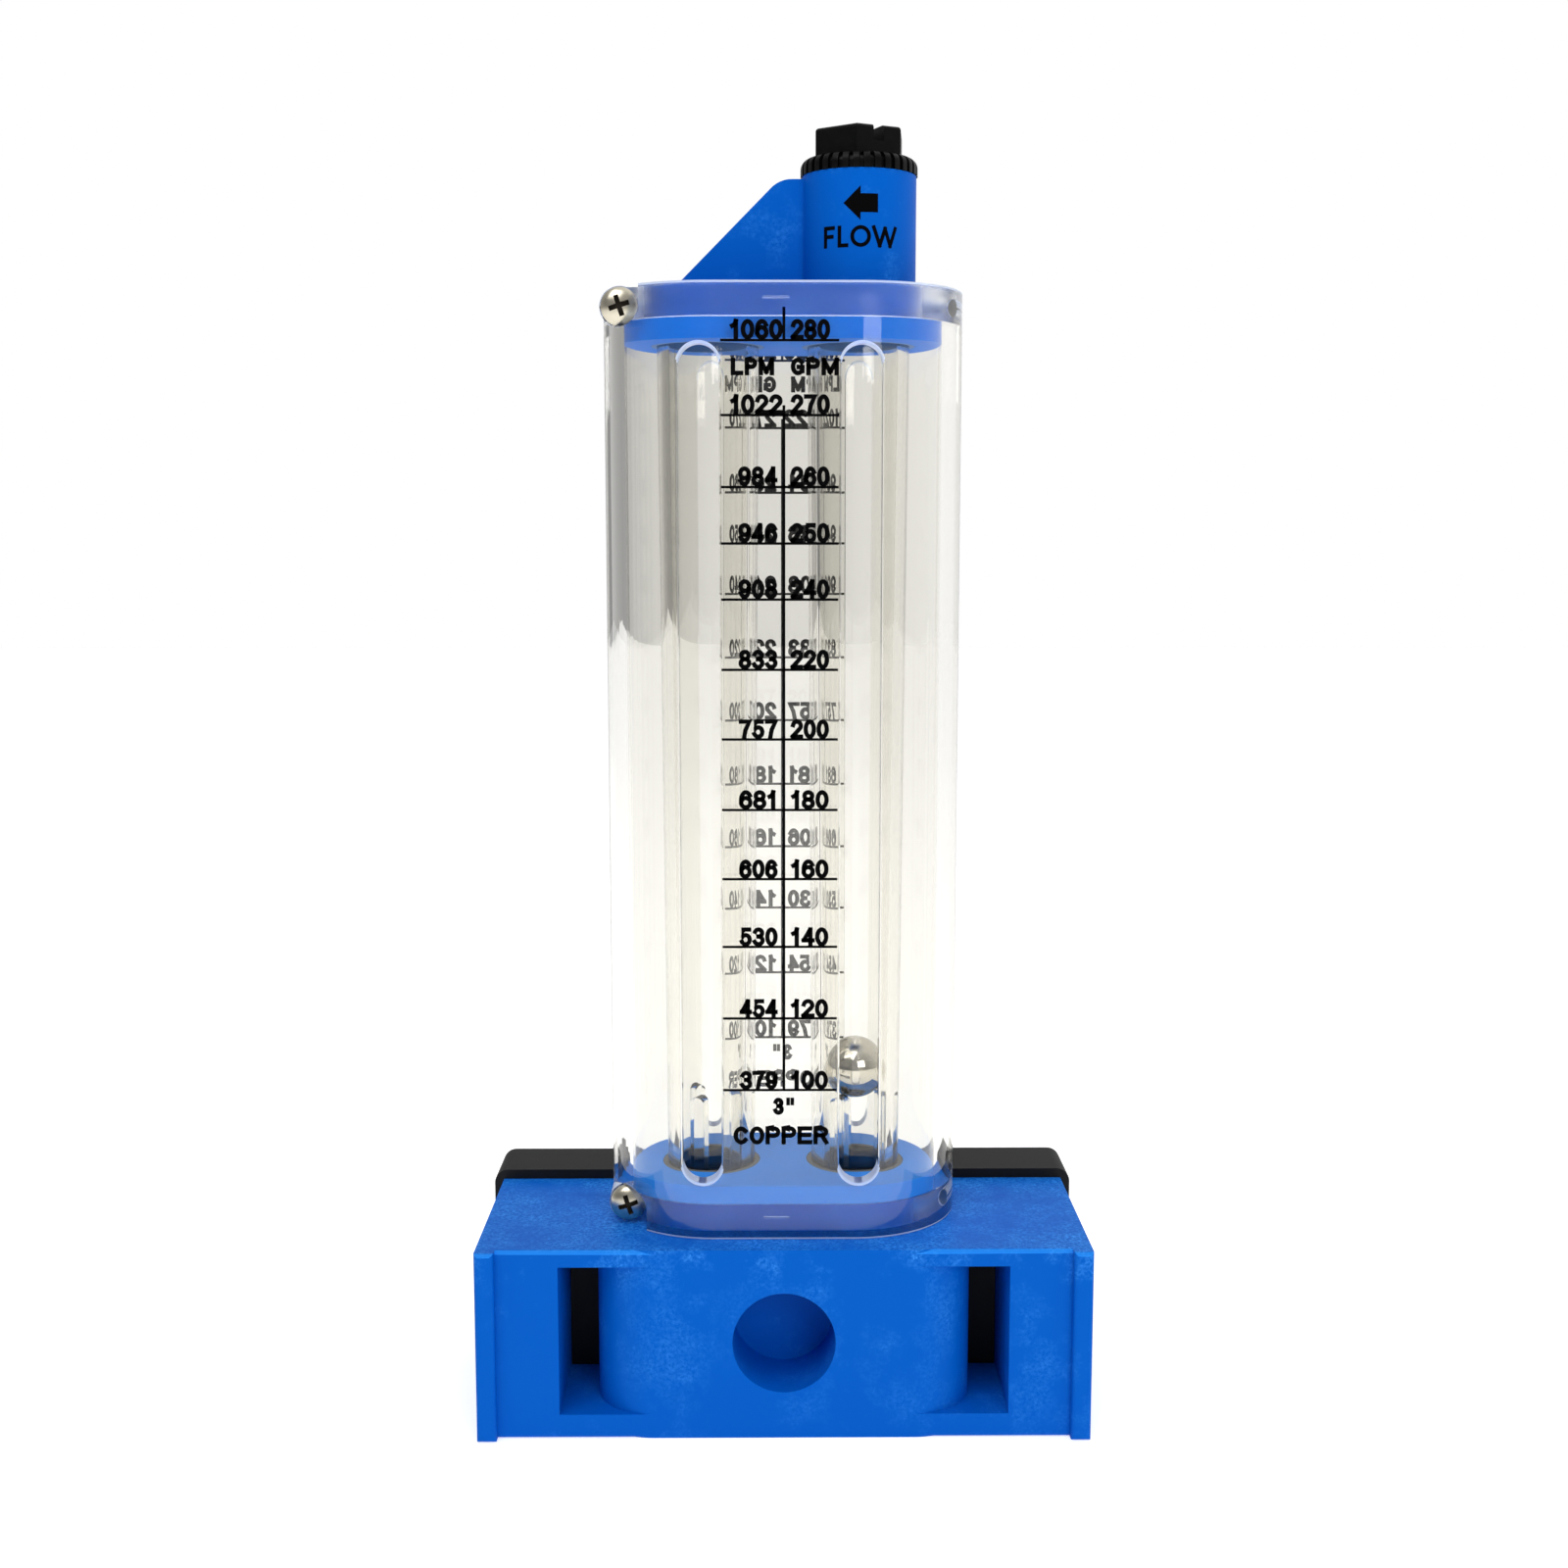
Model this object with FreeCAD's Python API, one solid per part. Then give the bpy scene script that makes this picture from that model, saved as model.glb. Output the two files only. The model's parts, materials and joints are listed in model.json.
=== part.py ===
"""Side-mounted pitot flow meter (rotameter) for a 3 inch copper pipe.

Frame: X to the right, Y towards the pipe, Z up, millimetres. The origin lies on the
underside of the base, midway between its ends, in the plane of the two clear tubes.
The water comes from the right: it rises in the right-hand metering tube, crosses the
cap and comes back down the left-hand return tube.
"""
import FreeCAD, Part
import math
import os

# ---- driving dimensions ---------------------------------------------------
# base moulding
base_width = 125.0          # over the two end flanges
base_height = 39.8
base_front = 28.2           # tube plane to the front face
base_back = 28.2            # tube plane to the back edge
end_flange = 4.0            # thickness of the rims that keep the band clamps on
flange_proud = 2.0          # how far the rims stand forward of the front face
rim_round = 0.9             # rounding of the base's outer edges
window_width = 91.6         # the front opening between the band seats
floor_thickness = 5.05
roof_thickness = 3.5
column_width = 77.2         # the hub in the middle that carries the water passages
column_round = 12.0
core_hole = 21.0            # round blind core hole in the hub's front
core_depth = 16.0
core_above_middle = 0.3

# pipe and its rubber saddle
pipe_diameter = 79.4        # 3 inch copper tube, 3 1/8 inch outside
saddle_wall = 3.1           # rubber between the base and the pipe
boot_wall = 2.1             # rubber lip round the base's back edges
boot_depth = 12.0           # how far the lip reaches forward
boot_round = 3.0
boot_gap = 0.4              # lip to clear body
lug_depth = 24.0            # front face of the base to the rubber in the side pockets
lug_gap = 0.15

# clear body: two equal half shells
tube_spacing = 30.8         # metering tube to return tube
shell_width = 73.1
shell_radius = 22.3         # rounded ends, and half the depth
shell_wall = 4.05
shell_height = 192.0
lip_height = 6.55           # inner lips that hook into the base and the cap
lip_radius = 14.1           # opening inside the lips
lip_gap = 0.1
slot_width = 8.0
slot_from_end = 11.9
slot_spacing = 31.9
slot_shift = 0.7            # the pair sits this far towards the outlet side
slot_round = 0.5

# screws that clamp the halves
screw_inset = 4.05          # side of the clear body to the screw's axis
screw_from_bottom = 4.3     # shell's lower end to the screw's axis
screw_from_top = 3.8
screw_diameter = 3.6
screw_gap = 0.05            # radial, in its tapped hole
screw_clearance = 0.2       # radial, in the half under its head
screw_head = 7.6
screw_head_height = 2.7
screw_seat = 10.8           # tube plane to the seat of the head
screw_reach = 8.0           # tube plane to the tip
screw_end_gap = 0.4
screw_crown = 1.6
screw_pocket = 8.2
recess_width = 1.2
recess_span = 4.2
recess_depth = 1.6
recess_turn = -18.0         # the cross out of level, degrees

# tapered clear tubes
tube_foot = 18.6            # outside diameters
tube_head = 20.9
bore_foot = 13.3
bore_head = 16.2
socket_depth = 4.7
socket_gap = 0.1
rib_top = 19.8              # bottom end of the tube to the top of its three ribs
rib_count = 3
rib_width = 2.6
rib_radius = 4.2            # free radius between the ribs
rib_sink = 0.6              # how far a rib runs into the tube's wall
metering_rib_turn = 235.0   # direction of the first rib, degrees
return_rib_turn = 247.0
seal_width = 0.95
seal_height = 2.3

# base plug and cap
plug_head_height = 3.85     # base plug above its groove
cap_head_height = 4.2       # cap plug below its groove
fit_gap = 0.05
tower_diameter = 23.2
tower_height = 23.0         # above the clear body
tower_bore = 17.0
gusset_thickness = 4.6
gusset_drop = 0.6           # its top below the tower's top
gusset_toe = 38.5           # foot of the slope to the tower's axis
gusset_round = 6.0
cross_bore = 4.8
cross_height = 7.3          # cap's inner face to the cross bore's axis
return_chamber = 14.0
passage_bore = 10.0

# ball
ball_diameter = 13.1

# access plug
thread_gap = 0.08           # radial
thread_length = 13.5
stop_diameter = 7.0
stop_rise = 3.23            # top of the tubes to the plug's stop
stop_gap = 0.4              # ball at the top of its travel to the plug's stop
grip_diameter = 23.7
grip_height = 3.4
grip_round = 1.9
grip_ribs = 34
grip_rib_width = 1.25
grip_rib_depth = 0.75
plug_hexagon = 17.0         # across flats
hexagon_height = 5.55
hexagon_turn = 24.7         # degrees
hexagon_round = 0.8
driver_slot_width = 2.3
driver_slot_depth = 3.1
ring_section = 1.56
ring_gap = 0.02

# pitot probe
probe_diameter = 14.0       # the part inside the pipe
collar_diameter = 15.0      # the part in the base and in the pipe's wall
collar_reach = 3.05         # how far it reaches past the pipe's outside
probe_round = 6.5
probe_gap = 0.05
probe_past_axis = 2.35      # how far the tip reaches past the pipe's axis
probe_inner_end = 2.6       # tube plane to the inner end, forwards
probe_wall = 2.8
probe_septum = 1.6
probe_port = 4.6
probe_port_from_tip = 9.0
probe_seal_from_back = 15.2
probe_groove = 1.5
probe_groove_width = 2.1
hub_bore = 7.0              # from the probe to each tube
hub_port = 3.8
passage_sump = 1.2          # bottom of the upright passages below the hub bore

# cutters and joined pieces reach this far past the faces they meet
beyond = 1.0
hair = 0.01                 # tolerance when edges are picked by place

# print: each flow, in gallons, at its share of the ball's travel
marks = {280: 0.989, 270: 0.895, 260: 0.804, 250: 0.732, 240: 0.660, 220: 0.569,
         200: 0.478, 180: 0.385, 160: 0.293, 140: 0.202, 120: 0.105, 100: 0.007}
litres_per_gallon = 3.7854
ink = 0.08
mark_line = 0.65
mark_left = -12.6
mark_right = 11.1
mark_gap = 0.3
centre_line = 0.55
digit_height = 4.0
digit_width = 1.95
digit_pitch = 2.55
digit_stroke = 0.62
digit_lift = 0.55           # foot of a number above its mark
word_height = 3.9
letter_width = 2.4
letter_pitch = 3.0
unit_drop = 7.1             # units below the highest mark
unit_gap = 1.1              # units to the centre line
size_drop = 5.2             # pipe size below the lowest mark
metal_drop = 11.15          # pipe metal below the lowest mark
metal_letter = 2.6
metal_pitch = 3.35
metal_stroke = 0.8
arrow_length = 6.8
arrow_height = 6.6
arrow_shaft = 3.6
arrow_rise = 16.2           # above the clear body
flow_rise = 7.6
flow_height = 4.2
flow_width = 2.7
flow_pitch = 3.75
flow_stroke = 0.75

# ---- levels and places worked out from them --------------------------------
tube_x = tube_spacing / 2
end_x = shell_width / 2 - shell_radius
slot_length = shell_height - 2 * slot_from_end
shell_bottom = base_height
shell_top = shell_bottom + shell_height
groove_top = shell_bottom + lip_height
groove_bottom = shell_top - lip_height
plug_top = groove_top + plug_head_height
cap_bottom = groove_bottom - cap_head_height
tube_bottom = plug_top - socket_depth
tube_top = cap_bottom + socket_depth
inner_radius = shell_radius - shell_wall
tower_top = shell_top + tower_height
pipe_radius = pipe_diameter / 2
saddle_back = base_back + saddle_wall
pipe_y = saddle_back + math.sqrt(pipe_radius ** 2 - (base_height / 2) ** 2)
screw_x = shell_width / 2 - screw_inset
screw_levels = (shell_bottom + screw_from_bottom, shell_top - screw_from_top)
rib_level = tube_bottom + rib_top
ball_rest = rib_level + math.sqrt((ball_diameter / 2) ** 2 - rib_radius ** 2)
stop_level = tube_top + stop_rise
ball_travel = stop_level - stop_gap - ball_rest - ball_diameter / 2
cross_level = cap_bottom + cross_height
core_height = base_height / 2 + core_above_middle
probe_tip = pipe_y + probe_past_axis
collar_end = pipe_y - pipe_radius + collar_reach
probe_seal_y = base_back - probe_seal_from_back
passage_floor = core_height - hub_bore / 2 - passage_sump


# ---- small builders ---------------------------------------------------------
def box(x0, x1, y0, y1, z0, z1):
    return Part.makeBox(x1 - x0, y1 - y0, z1 - z0, FreeCAD.Vector(x0, y0, z0))


def rod(radius, start, end):
    start, end = FreeCAD.Vector(*start), FreeCAD.Vector(*end)
    return Part.makeCylinder(radius, (end - start).Length, start, end - start)


def upright(radius, x, z0, z1):
    return rod(radius, (x, 0, z0), (x, 0, z1))


def taper(r0, r1, x, z0, z1):
    return Part.makeCone(r0, r1, z1 - z0, FreeCAD.Vector(x, 0, z0))


def stadium(radius, z0, z1):
    """Upright block with the clear body's round ends, drawn in or out to a radius."""
    middle = box(-end_x, end_x, -radius, radius, z0, z1)
    ends = [upright(radius, x, z0, z1) for x in (-end_x, end_x)]
    return middle.fuse(ends).removeSplitter()


def ring(outer, inner, x, z0, z1):
    return upright(outer, x, z0, z1).cut(upright(inner, x, z0, z1))


def rounded(solid, radius, wanted):
    """Fillet the edges for which wanted(edge) is true."""
    edges = [edge for edge in solid.Edges if wanted(edge)]
    return solid.makeFillet(radius, edges)


def turned(solid, degrees, centre=(0, 0, 0)):
    copy = solid.copy()
    copy.rotate(FreeCAD.Vector(*centre), FreeCAD.Vector(0, 0, 1), degrees)
    return copy


def halfway_round(solid):
    """The same piece on the other side of the meter."""
    return turned(solid, 180)


def save(solid, name):
    solid.exportStep("parts/" + name + ".step")


# ---- base -------------------------------------------------------------------
def pipe_trough(radius):
    return rod(radius, (-base_width, pipe_y, base_height / 2), (base_width, pipe_y, base_height / 2))


def base_frame():
    """Floor, roof and end walls, with the clamp rims at the ends."""
    half = base_width / 2
    frame = box(-half, half, -base_front, base_back, 0, base_height)
    for side in (-1, 1):
        x0, x1 = sorted((side * half, side * (half - end_flange)))
        rim = box(x0, x1, -base_front - flange_proud, -base_front + beyond, 0, base_height)
        frame = frame.fuse(rim)
    frame = frame.removeSplitter()
    front = -base_front - flange_proud

    def outer_edge(edge):
        bounds = edge.BoundBox
        along_rim = bounds.YMax < front + hair
        along_front = bounds.XLength > window_width and abs(bounds.YMin + base_front) < hair
        return along_rim or along_front

    frame = rounded(frame, rim_round, outer_edge)
    opening = box(-window_width / 2, window_width / 2, -base_front - flange_proud, base_back + beyond,
                  floor_thickness, base_height - roof_thickness)
    return frame.cut(opening)


def base_column():
    half = column_width / 2
    column = box(-half, half, -base_front, base_back, 0, base_height)

    def front_corner(edge):
        return edge.BoundBox.ZLength > base_height - hair and edge.BoundBox.YMax < 0

    column = rounded(column, column_round, front_corner)
    core = rod(core_hole / 2, (0, -base_front - beyond, core_height),
               (0, -base_front + core_depth, core_height))
    return column.cut(core)


def base_plug():
    """Grooved plug that the clear body hooks under."""
    neck = stadium(lip_radius - lip_gap, base_height - beyond, groove_top + fit_gap)
    head = stadium(inner_radius - lip_gap, groove_top + fit_gap, plug_top)
    return neck.fuse(head)


def base_passages():
    """Sockets for the tubes, and the bores from them to the probe."""
    cuts = []
    for x in (-tube_x, tube_x):
        cuts.append(upright(tube_foot / 2 + socket_gap, x, tube_bottom, plug_top + beyond))
        cuts.append(upright(tube_foot / 2 + socket_gap + seal_width + socket_gap, x,
                            plug_top - seal_height - socket_gap, plug_top + beyond))
        cuts.append(upright(passage_bore / 2, x, passage_floor, tube_bottom + beyond))
    cuts.append(rod(hub_bore / 2, (-tube_x, 0, core_height), (tube_x, 0, core_height)))
    cuts.append(rod(collar_diameter / 2 + probe_gap, (0, -probe_inner_end - fit_gap, core_height),
                    (0, base_back + beyond, core_height)))
    return cuts


def base_block():
    block = base_frame().fuse([base_column(), base_plug()]).removeSplitter()
    block = block.cut([pipe_trough(pipe_radius + saddle_wall)] + base_passages())
    underside_step = box(-base_width, base_width, base_back - boot_depth, base_back + beyond,
                         -beyond, boot_wall)
    return block.cut(underside_step)


# ---- rubber saddle ----------------------------------------------------------
def saddle_gasket():
    half = base_width / 2 + boot_wall
    front = base_back - boot_depth
    boot = box(-half, half, front, saddle_back, 0, base_height + boot_wall)

    def outer_corner(edge):
        along_y = edge.BoundBox.YLength > boot_depth
        return along_y and edge.BoundBox.ZMin > base_height

    boot = rounded(boot, boot_round, outer_corner)
    inside = box(-base_width / 2, base_width / 2, front - beyond, base_back, boot_wall, base_height)
    boot = boot.cut([inside.cut(pipe_trough(pipe_radius + saddle_wall)), pipe_trough(pipe_radius)])
    boot = boot.fuse(gasket_lugs()).removeSplitter()
    clear_body = stadium(shell_radius + boot_gap, base_height - beyond, base_height + boot_wall + beyond)
    probe_hole = rod(collar_diameter / 2 + boot_gap, (0, front, core_height), (0, saddle_back, core_height))
    return boot.cut([clear_body, probe_hole])


def gasket_lugs():
    """Two lugs that key the rubber into the base's side pockets."""
    lugs = []
    for side in (-1, 1):
        x0, x1 = sorted((side * (column_width / 2 + lug_gap), side * (window_width / 2 - lug_gap)))
        lug = box(x0, x1, -base_front + lug_depth, base_back, floor_thickness + lug_gap,
                  base_height - roof_thickness - lug_gap)
        lugs.append(lug.cut(pipe_trough(pipe_radius + saddle_wall - fit_gap)))
    return lugs


# ---- clear body -------------------------------------------------------------
def slot_cutter(x):
    """One long slot with round ends, through the front wall."""
    middle = (shell_bottom + shell_top) / 2
    reach = (slot_length - slot_width) / 2
    y0, y1 = -shell_radius - beyond, -inner_radius / 2
    cutter = box(x - slot_width / 2, x + slot_width / 2, y0, y1, middle - reach, middle + reach)
    ends = [rod(slot_width / 2, (x, y0, level), (x, y1, level)) for level in (middle - reach, middle + reach)]
    return cutter.fuse(ends)


def head_pocket(level):
    """Room for a screw head, open to the shell's end and side."""
    top = level > (shell_bottom + shell_top) / 2
    radius = screw_pocket / 2
    y0, y1 = -shell_radius - beyond, -screw_seat
    pocket = rod(radius, (-screw_x, y0, level), (-screw_x, y1, level))
    z0, z1 = (level, shell_top + beyond) if top else (shell_bottom - beyond, level)
    return pocket.fuse(box(-screw_x - radius, -screw_x + radius, y0, y1, z0, z1))


def screw_boss(level):
    """Thick wall under a screw head, clear of the grooves."""
    boss = rod(screw_inset, (-screw_x, -screw_seat, level), (-screw_x, 0, level))
    return boss.cut(stadium(inner_radius, groove_top, groove_bottom))


def screw_holes(level):
    """Clearance hole under this half's own screw, tapped hole for the other's."""
    clearance = rod(screw_diameter / 2 + screw_clearance, (-screw_x, -screw_seat - beyond, level),
                    (-screw_x, beyond, level))
    tapped = rod(screw_diameter / 2 + screw_gap, (screw_x, -screw_reach - screw_end_gap, level),
                 (screw_x, beyond, level))
    return [clearance, tapped]


def front_shell_half():
    wall = stadium(shell_radius, shell_bottom, shell_top)
    wall = wall.cut([stadium(inner_radius, groove_top, groove_bottom),
                     stadium(lip_radius, shell_bottom, shell_top)])
    cuts = [slot_cutter(-slot_shift + side * slot_spacing / 2) for side in (-1, 1)]
    for level in screw_levels:
        cuts += [head_pocket(level)] + screw_holes(level)
    reach = shell_width / 2 + beyond
    front = box(-reach, reach, -shell_radius - beyond, 0, shell_bottom, shell_top)
    half = wall.fuse([screw_boss(level) for level in screw_levels]).common(front).cut(cuts)
    half = half.removeSplitter()

    def slot_mouth(edge):
        bounds = edge.BoundBox
        on_face = max(abs(bounds.YMin + shell_radius), abs(bounds.YMax + shell_radius)) < hair
        in_wall = groove_top < bounds.ZMin and bounds.ZMax < groove_bottom
        return on_face and in_wall and bounds.ZLength < slot_length

    return rounded(half, slot_round, slot_mouth)


# ---- screws -----------------------------------------------------------------
def shell_screw(level):
    """Pan-head screw, head to the front, with a cross recess."""
    seat, radius = -screw_seat, screw_head / 2
    head = rod(radius, (-screw_x, seat - screw_head_height, level), (-screw_x, seat, level))

    def crown(edge):
        return edge.BoundBox.YMax < seat - screw_head_height + hair

    head = rounded(head, screw_crown, crown)
    shank = rod(screw_diameter / 2, (-screw_x, seat - screw_head_height / 2, level),
                (-screw_x, screw_reach, level))
    face = seat - screw_head_height
    arms = []
    for turn in (recess_turn, recess_turn + 90):
        arm = Part.makeBox(recess_span, recess_depth, recess_width,
                           FreeCAD.Vector(-screw_x - recess_span / 2, face, level - recess_width / 2))
        arm.rotate(FreeCAD.Vector(-screw_x, face, level), FreeCAD.Vector(0, 1, 0), turn)
        arms.append(arm)
    return head.fuse(shank).cut(arms)


# ---- tubes and seals --------------------------------------------------------
def rib(x, direction):
    """One rib inside a tube's foot, with a rounded top."""
    outer = bore_foot / 2 + rib_sink
    shoulder = rib_level - rib_width / 2
    body = box(rib_radius, outer, -rib_width / 2, rib_width / 2, tube_bottom, shoulder)
    crown = rod(rib_width / 2, (rib_radius, 0, shoulder), (outer, 0, shoulder))
    solid = turned(body.fuse(crown), direction)
    solid.translate(FreeCAD.Vector(x, 0, 0))
    return solid


def clear_tube(x, first_rib):
    """Tapered tube, wider at the top, with ribs in its foot."""
    tube = taper(tube_foot / 2, tube_head / 2, x, tube_bottom, tube_top)
    tube = tube.cut(taper(bore_foot / 2, bore_head / 2, x, tube_bottom, tube_top))
    ribs = [rib(x, first_rib + 360 / rib_count * turn) for turn in range(rib_count)]
    return tube.fuse(ribs).removeSplitter()


def lower_seal(x):
    inner = tube_foot / 2 + socket_gap
    return ring(inner + seal_width, inner, x, plug_top - seal_height, plug_top)


def upper_seal(x):
    inner = tube_head / 2 + socket_gap
    return ring(inner + seal_width, inner, x, cap_bottom, cap_bottom + seal_height)


# ---- cap --------------------------------------------------------------------
def gusset():
    """Web that braces the tower, with a 45 degree slope and a rounded shoulder."""
    top = tower_top - gusset_drop
    toe_x = tube_x - gusset_toe
    shoulder_x = toe_x + (top - shell_top)
    foot = shell_top - beyond
    corners = [(toe_x - beyond, foot), (shoulder_x, top), (tube_x, top), (tube_x, foot)]
    points = [FreeCAD.Vector(x, -gusset_thickness / 2, z) for x, z in corners]
    face = Part.Face(Part.makePolygon(points + [points[0]]))
    web = face.extrude(FreeCAD.Vector(0, gusset_thickness, 0))

    def shoulder(edge):
        bounds = edge.BoundBox
        return bounds.YLength > gusset_thickness - hair and abs(bounds.XMin - shoulder_x) < hair

    return rounded(web, gusset_round, shoulder)


def top_cap():
    neck = stadium(lip_radius - lip_gap, groove_bottom - fit_gap, shell_top)
    head = stadium(inner_radius - lip_gap, cap_bottom, groove_bottom - fit_gap)
    tower = upright(tower_diameter / 2, tube_x, shell_top - beyond, tower_top)
    cap = neck.fuse([head, tower, gusset()]).removeSplitter()
    cuts = []
    for x in (-tube_x, tube_x):
        cuts.append(upright(tube_head / 2 + socket_gap, x, cap_bottom - beyond, tube_top))
        cuts.append(upright(tube_head / 2 + 2 * socket_gap + seal_width, x,
                            cap_bottom - beyond, cap_bottom + seal_height + socket_gap))
    cuts.append(upright(tower_bore / 2, tube_x, tube_top - beyond, tower_top + beyond))
    cuts.append(upright(return_chamber / 2, -tube_x, tube_top - beyond, cross_level + cross_bore / 2))
    cuts.append(rod(cross_bore / 2, (-tube_x, 0, cross_level), (tube_x, 0, cross_level)))
    cuts.append(upright(ring_seat_radius(), tube_x, tower_top - ring_section - ring_gap, tower_top + beyond))
    return cap.cut(cuts)


# ---- access plug ------------------------------------------------------------
def stem_radius():
    return tower_bore / 2 - thread_gap


def ring_seat_radius():
    return stem_radius() + ring_section + 2 * ring_gap


def access_plug_seal():
    section = ring_section / 2
    centre = FreeCAD.Vector(tube_x, 0, tower_top - section - ring_gap / 2)
    return Part.makeTorus(stem_radius() + section + ring_gap, section, centre)


def grip_dome(inset):
    """Rounded skirt of the plug, drawn in by inset."""
    low, high = tower_top + fit_gap, tower_top + grip_height - inset

    def top_edge(edge):
        return edge.BoundBox.ZMin > high - hair

    return rounded(upright(grip_diameter / 2 - inset, tube_x, low, high), grip_round - inset, top_edge)


def grip():
    """Skirt with finger ribs all round."""
    low, high = tower_top + fit_gap, tower_top + grip_height
    start = grip_diameter / 2 - grip_round - 2 * grip_rib_depth
    plate = box(start, grip_diameter / 2, -grip_rib_width / 2, grip_rib_width / 2, low, high)
    plate.translate(FreeCAD.Vector(tube_x, 0, 0))
    plates = [turned(plate, 360 / grip_ribs * count, (tube_x, 0, 0)) for count in range(grip_ribs)]
    skirt = grip_dome(0)
    return grip_dome(grip_rib_depth).fuse([plate.common(skirt) for plate in plates])


def hexagon_head():
    """Wrench hexagon with a driver slot across it."""
    low = tower_top + grip_height / 2
    high = tower_top + grip_height + hexagon_height
    radius = plug_hexagon / math.sqrt(3)
    angles = [math.radians(60 * count) for count in range(7)]
    corners = [FreeCAD.Vector(tube_x + radius * math.cos(angle), radius * math.sin(angle), low) for angle in angles]
    head = Part.Face(Part.makePolygon(corners)).extrude(FreeCAD.Vector(0, 0, high - low))

    def outer_edge(edge):
        return edge.BoundBox.ZMin > high - hair

    head = rounded(head, hexagon_round, outer_edge)
    slot = box(tube_x - driver_slot_width / 2, tube_x + driver_slot_width / 2, -radius, radius,
               high - driver_slot_depth, high + beyond)
    return turned(head.cut(slot), hexagon_turn, (tube_x, 0, 0))


def access_plug():
    stem = upright(stem_radius(), tube_x, tower_top - thread_length, tower_top + grip_height / 2)
    stop = upright(stop_diameter / 2, tube_x, stop_level, tower_top)
    return grip().fuse([stem, stop, hexagon_head()]).removeSplitter()


# ---- pitot probe ------------------------------------------------------------
def probe_channels():
    """Two D-shaped channels either side of a septum, with their side ports."""
    radius = probe_diameter / 2 - probe_wall
    bore = rod(radius, (0, -probe_inner_end + probe_septum, core_height),
               (0, probe_tip - probe_port, core_height))
    septum = box(-probe_septum / 2, probe_septum / 2, -probe_inner_end, probe_tip, 0, base_height)
    reach = probe_diameter
    ports = [rod(size / 2, (-reach, y, core_height), (reach, y, core_height))
             for size, y in ((hub_port, probe_septum / 2), (probe_port, probe_tip - probe_port_from_tip))]
    return [shape.cut(septum) for shape in [bore] + ports]


def pitot_probe():
    shank = rod(probe_diameter / 2, (0, -probe_inner_end, core_height), (0, probe_tip, core_height))

    def tip_edge(edge):
        return edge.BoundBox.YMin > probe_tip - hair

    collar = rod(collar_diameter / 2, (0, -probe_inner_end, core_height), (0, collar_end, core_height))
    probe = rounded(shank, probe_round, tip_edge).fuse(collar).removeSplitter()
    outside = rod(collar_diameter, (0, probe_seal_y - probe_groove_width / 2, core_height),
                  (0, probe_seal_y + probe_groove_width / 2, core_height))
    core = rod(collar_diameter / 2 - probe_groove, (0, 0, core_height), (0, probe_tip, core_height))
    return probe.cut([outside.cut(core)] + probe_channels())


def probe_seal():
    section = (probe_groove + probe_gap) / 2 - ring_gap
    centre = FreeCAD.Vector(0, probe_seal_y, core_height)
    return Part.makeTorus(collar_diameter / 2 - probe_groove + section + ring_gap, section, centre,
                          FreeCAD.Vector(0, 1, 0))


# ---- print ------------------------------------------------------------------
# each sign is drawn with straight strokes in a cell one wide and two high
SIGNS = {
    "0": ["A0 B0 B2 A2 A0"], "1": ["B0 B2"], "2": ["A2 B2 B1 A1 A0 B0"], "3": ["A2 B2 B0 A0", "A1 B1"],
    "4": ["A2 A1 B1", "B2 B0"], "5": ["B2 A2 A1 B1 B0 A0"], "6": ["B2 A2 A0 B0 B1 A1"], "7": ["A2 B2 B0"],
    "8": ["A0 B0 B2 A2 A0", "A1 B1"], "9": ["B1 A1 A2 B2 B0 A0"], "L": ["A2 A0 B0"], "P": ["A0 A2 B2 B1 A1"],
    "M": ["A0 A2 B2 B0", "M2 M1"], "G": ["B2 A2 A0 B0 B1"], "C": ["B2 A2 A0 B0"], "O": ["A0 B0 B2 A2 A0"],
    "E": ["B2 A2 A0 B0", "A1 B1"], "R": ["A0 A2 B2 B1 A1", "M1 M0"], "F": ["A0 A2 B2", "A1 B1"],
    "W": ["A2 A0 B0 B2", "M0 M1"], "'": ["B2 B1"], " ": [],
}


def sign_solid(sign, x, z, width, height, stroke, depth):
    """One sign as a plate, its lower left corner at x, z, its back in the plane y = 0."""
    columns = {"A": x + stroke / 2, "M": x + width / 2, "B": x + width - stroke / 2}
    rows = {"0": z + stroke / 2, "1": z + height / 2, "2": z + height - stroke / 2}
    bars = []
    for line in SIGNS[sign]:
        points = [(columns[key[0]], rows[key[1]]) for key in line.split()]
        for (xa, za), (xb, zb) in zip(points, points[1:]):
            bars.append(box(min(xa, xb) - stroke / 2, max(xa, xb) + stroke / 2, -depth, 0,
                            min(za, zb) - stroke / 2, max(za, zb) + stroke / 2))
    if not bars:
        return None
    return bars[0].fuse(bars[1:]).removeSplitter() if len(bars) > 1 else bars[0]


def written(text, x, z, width, height, pitch, stroke, depth=ink):
    signs = [sign_solid(sign, x + count * pitch, z, width, height, stroke, depth)
             for count, sign in enumerate(text)]
    return [solid for solid in signs if solid is not None]


def mark_levels():
    return {gallons: ball_rest + share * ball_travel for gallons, share in marks.items()}


def number(text, x, level):
    return written(text, x, level + digit_lift, digit_width, digit_height, digit_pitch, digit_stroke)


def mark(x0, x1, level):
    return box(x0, x1, -ink, 0, level - mark_line / 2, level + mark_line / 2)


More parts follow.
